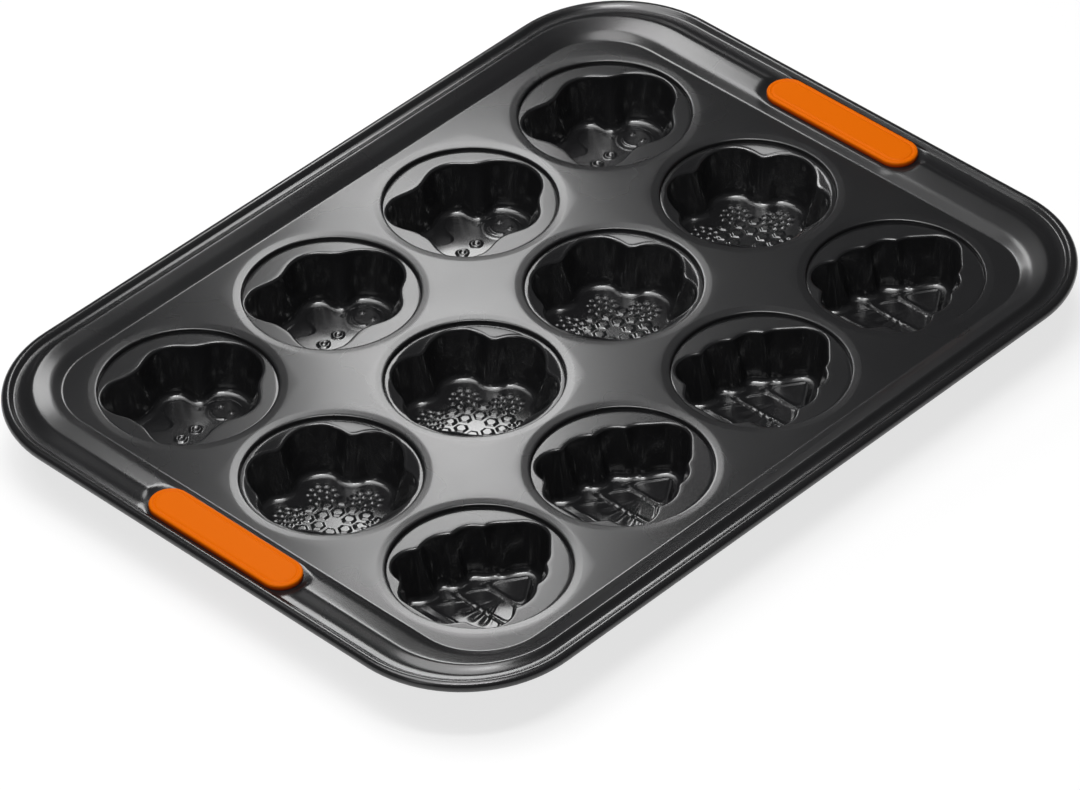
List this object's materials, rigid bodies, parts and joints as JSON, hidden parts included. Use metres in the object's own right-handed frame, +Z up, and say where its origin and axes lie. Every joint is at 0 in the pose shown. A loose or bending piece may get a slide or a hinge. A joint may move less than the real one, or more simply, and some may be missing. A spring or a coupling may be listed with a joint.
{
  "type": "muffin pan",
  "caption": "Rectangular coated steel muffin pan with a wired rolled rim, seamed-in festive shaped cups and a silicone grip at each end.",
  "frame": {"origin": "on the surface the pan stands on, under its centre", "axes": "+Z up, +X along the long side in the direction the figures' heads and tree tips point, +Y towards the gingerbread row"},
  "size_m": [0.4, 0.3, 0.0317],
  "materials": {
    "coated_steel": "semi-gloss dark grey non-stick coating",
    "rim_wire_steel": "drawn steel wire",
    "silicone": "satin orange silicone"
  },
  "bodies": {
    "root": {"pan_frame": "coated_steel", "rim_wire": "rim_wire_steel", "gingerbread_cup_1": "coated_steel", "gingerbread_cup_2": "coated_steel", "gingerbread_cup_3": "coated_steel", "gingerbread_cup_4": "coated_steel", "snowflake_cup_1": "coated_steel", "snowflake_cup_2": "coated_steel", "snowflake_cup_3": "coated_steel", "snowflake_cup_4": "coated_steel", "tree_cup_1": "coated_steel", "tree_cup_2": "coated_steel", "tree_cup_3": "coated_steel", "tree_cup_4": "coated_steel", "grip_left": "silicone", "grip_right": "silicone"}
  },
  "joints": []
}
